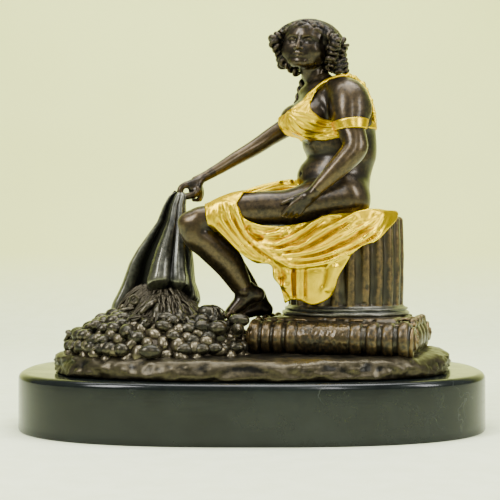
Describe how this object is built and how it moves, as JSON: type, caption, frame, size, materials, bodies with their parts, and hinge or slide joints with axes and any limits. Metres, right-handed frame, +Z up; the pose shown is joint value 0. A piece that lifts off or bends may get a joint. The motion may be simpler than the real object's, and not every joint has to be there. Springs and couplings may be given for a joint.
{
  "type": "bronze seated woman sculpture",
  "caption": "Patinated bronze statuette with gilded drapery: a seated woman on a column drum lifts a veil off a heap of pods and shells, on an oval black marble plinth.",
  "frame": {"origin": "centre of the plinth's underside, on the surface that it stands on", "axes": "+Z up, +X along the plinth towards the column's end, -Y towards the viewer who sees the figure's left side"},
  "size_m": [0.305, 0.189, 0.2709],
  "materials": {
    "bronze": "dark brown patina, waxed, rubbed warmer on the high places",
    "gilding": "satin gold finish on the skirt, bodice and armband, dark in the folds",
    "marble": "polished, near black with faint grey veins"
  },
  "bodies": {
    "root": {"bronze_casting": "bronze", "marble_plinth": "marble"}
  },
  "joints": []
}
